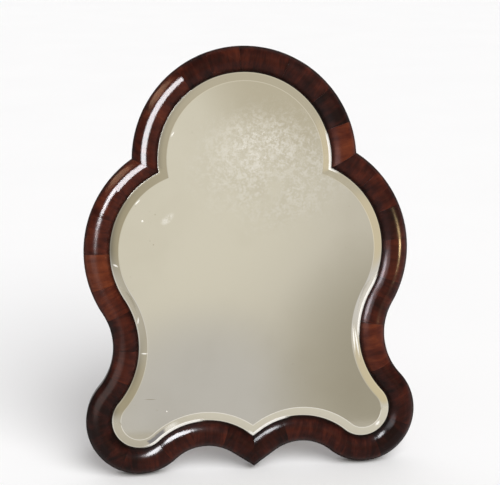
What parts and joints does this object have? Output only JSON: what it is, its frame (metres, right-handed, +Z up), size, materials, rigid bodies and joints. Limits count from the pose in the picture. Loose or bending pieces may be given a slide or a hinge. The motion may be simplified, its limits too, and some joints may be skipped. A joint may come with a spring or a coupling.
{
  "type": "table mirror",
  "caption": "Shaped table mirror with a rounded cross-grain wooden frame and a bevelled plate, leaning back on a strut that hinges at the back and folds flat.",
  "frame": {"origin": "middle of the footprint on the table, strut open", "axes": "+Z up, -Y towards the viewer in front of the plate, +X to the viewer's right"},
  "size_m": [0.394, 0.1664, 0.4895],
  "materials": {
    "mahogany_moulding": "polished",
    "stained_softwood": "stained",
    "mirror_plate": "silvered, bevelled",
    "bare_softwood": "bare",
    "stained_board": "stained",
    "strut_wood": "stained",
    "brass": "aged"
  },
  "bodies": {
    "frame": {"backboard": "stained_board", "backboard_screws": "brass", "crown_block_1": "mahogany_moulding", "crown_block_2": "mahogany_moulding", "crown_block_3": "mahogany_moulding", "crown_block_4": "mahogany_moulding", "crown_block_5": "mahogany_moulding", "crown_block_6": "mahogany_moulding", "crown_block_7": "mahogany_moulding", "crown_ground_1": "stained_softwood", "crown_ground_2": "stained_softwood", "crown_ground_3": "stained_softwood", "hinge_leaf_upper": "brass", "hinge_pin": "brass", "hinge_screws_upper": "brass", "left_block_1": "mahogany_moulding", "left_block_10": "mahogany_moulding", "left_block_11": "mahogany_moulding", "left_block_12": "mahogany_moulding", "left_block_13": "mahogany_moulding", "left_block_2": "mahogany_moulding", "left_block_3": "mahogany_moulding", "left_block_4": "mahogany_moulding", "left_block_5": "mahogany_moulding", "left_block_6": "mahogany_moulding", "left_block_7": "mahogany_moulding", "left_block_8": "mahogany_moulding", "left_block_9": "mahogany_moulding", "left_ground_1": "stained_softwood", "left_ground_2": "stained_softwood", "left_ground_3": "stained_softwood", "left_ground_4": "stained_softwood", "left_ground_5": "stained_softwood", "left_ground_6": "stained_softwood", "mirror_plate": "mirror_plate", "plate_wedges": "bare_softwood", "right_block_1": "mahogany_moulding", "right_block_10": "mahogany_moulding", "right_block_11": "mahogany_moulding", "right_block_2": "mahogany_moulding", "right_block_3": "mahogany_moulding", "right_block_4": "mahogany_moulding", "right_block_5": "mahogany_moulding", "right_block_6": "mahogany_moulding", "right_block_7": "mahogany_moulding", "right_block_8": "mahogany_moulding", "right_block_9": "mahogany_moulding", "right_ground_1": "stained_softwood", "right_ground_2": "stained_softwood", "right_ground_3": "stained_softwood", "right_ground_4": "stained_softwood", "right_ground_5": "stained_softwood", "right_ground_6": "stained_softwood", "strut_block": "strut_wood", "strut_block_screws": "brass"},
    "strut": {"strut": "strut_wood", "hinge_leaf_lower": "brass", "hinge_screws_lower": "brass"}
  },
  "joints": [
    {"name": "strut_fold", "type": "hinge", "parent": "frame", "child": "strut", "pos_m": [0, 0.03446, 0.32093], "axis": [-1, 0, 0], "range_deg": [0, 22]}
  ]
}
